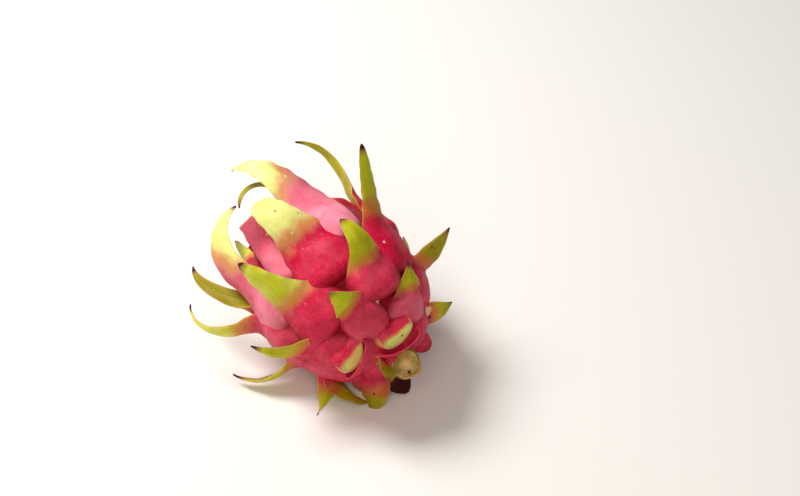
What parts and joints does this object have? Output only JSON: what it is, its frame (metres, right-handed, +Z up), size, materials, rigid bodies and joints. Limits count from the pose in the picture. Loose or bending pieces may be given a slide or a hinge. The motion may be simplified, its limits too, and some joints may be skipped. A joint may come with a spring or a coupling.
{
  "type": "dragon fruit",
  "caption": "Whole dragon fruit lying on its side: a plump oval body covered by fleshy leaf-like scales with long curled tips, and a short cut stem.",
  "frame": {"origin": "on the surface, under the middle of the bounding box", "axes": "+Z up, the long axis over the XZ plane, the cut stem towards +X and the blossom end towards -X"},
  "size_m": [0.1306, 0.113, 0.1042],
  "materials": {
    "skin": "waxy satin",
    "stem": "matte"
  },
  "bodies": {
    "root": {"fruit": "skin", "stem_stub": "stem"}
  },
  "joints": []
}
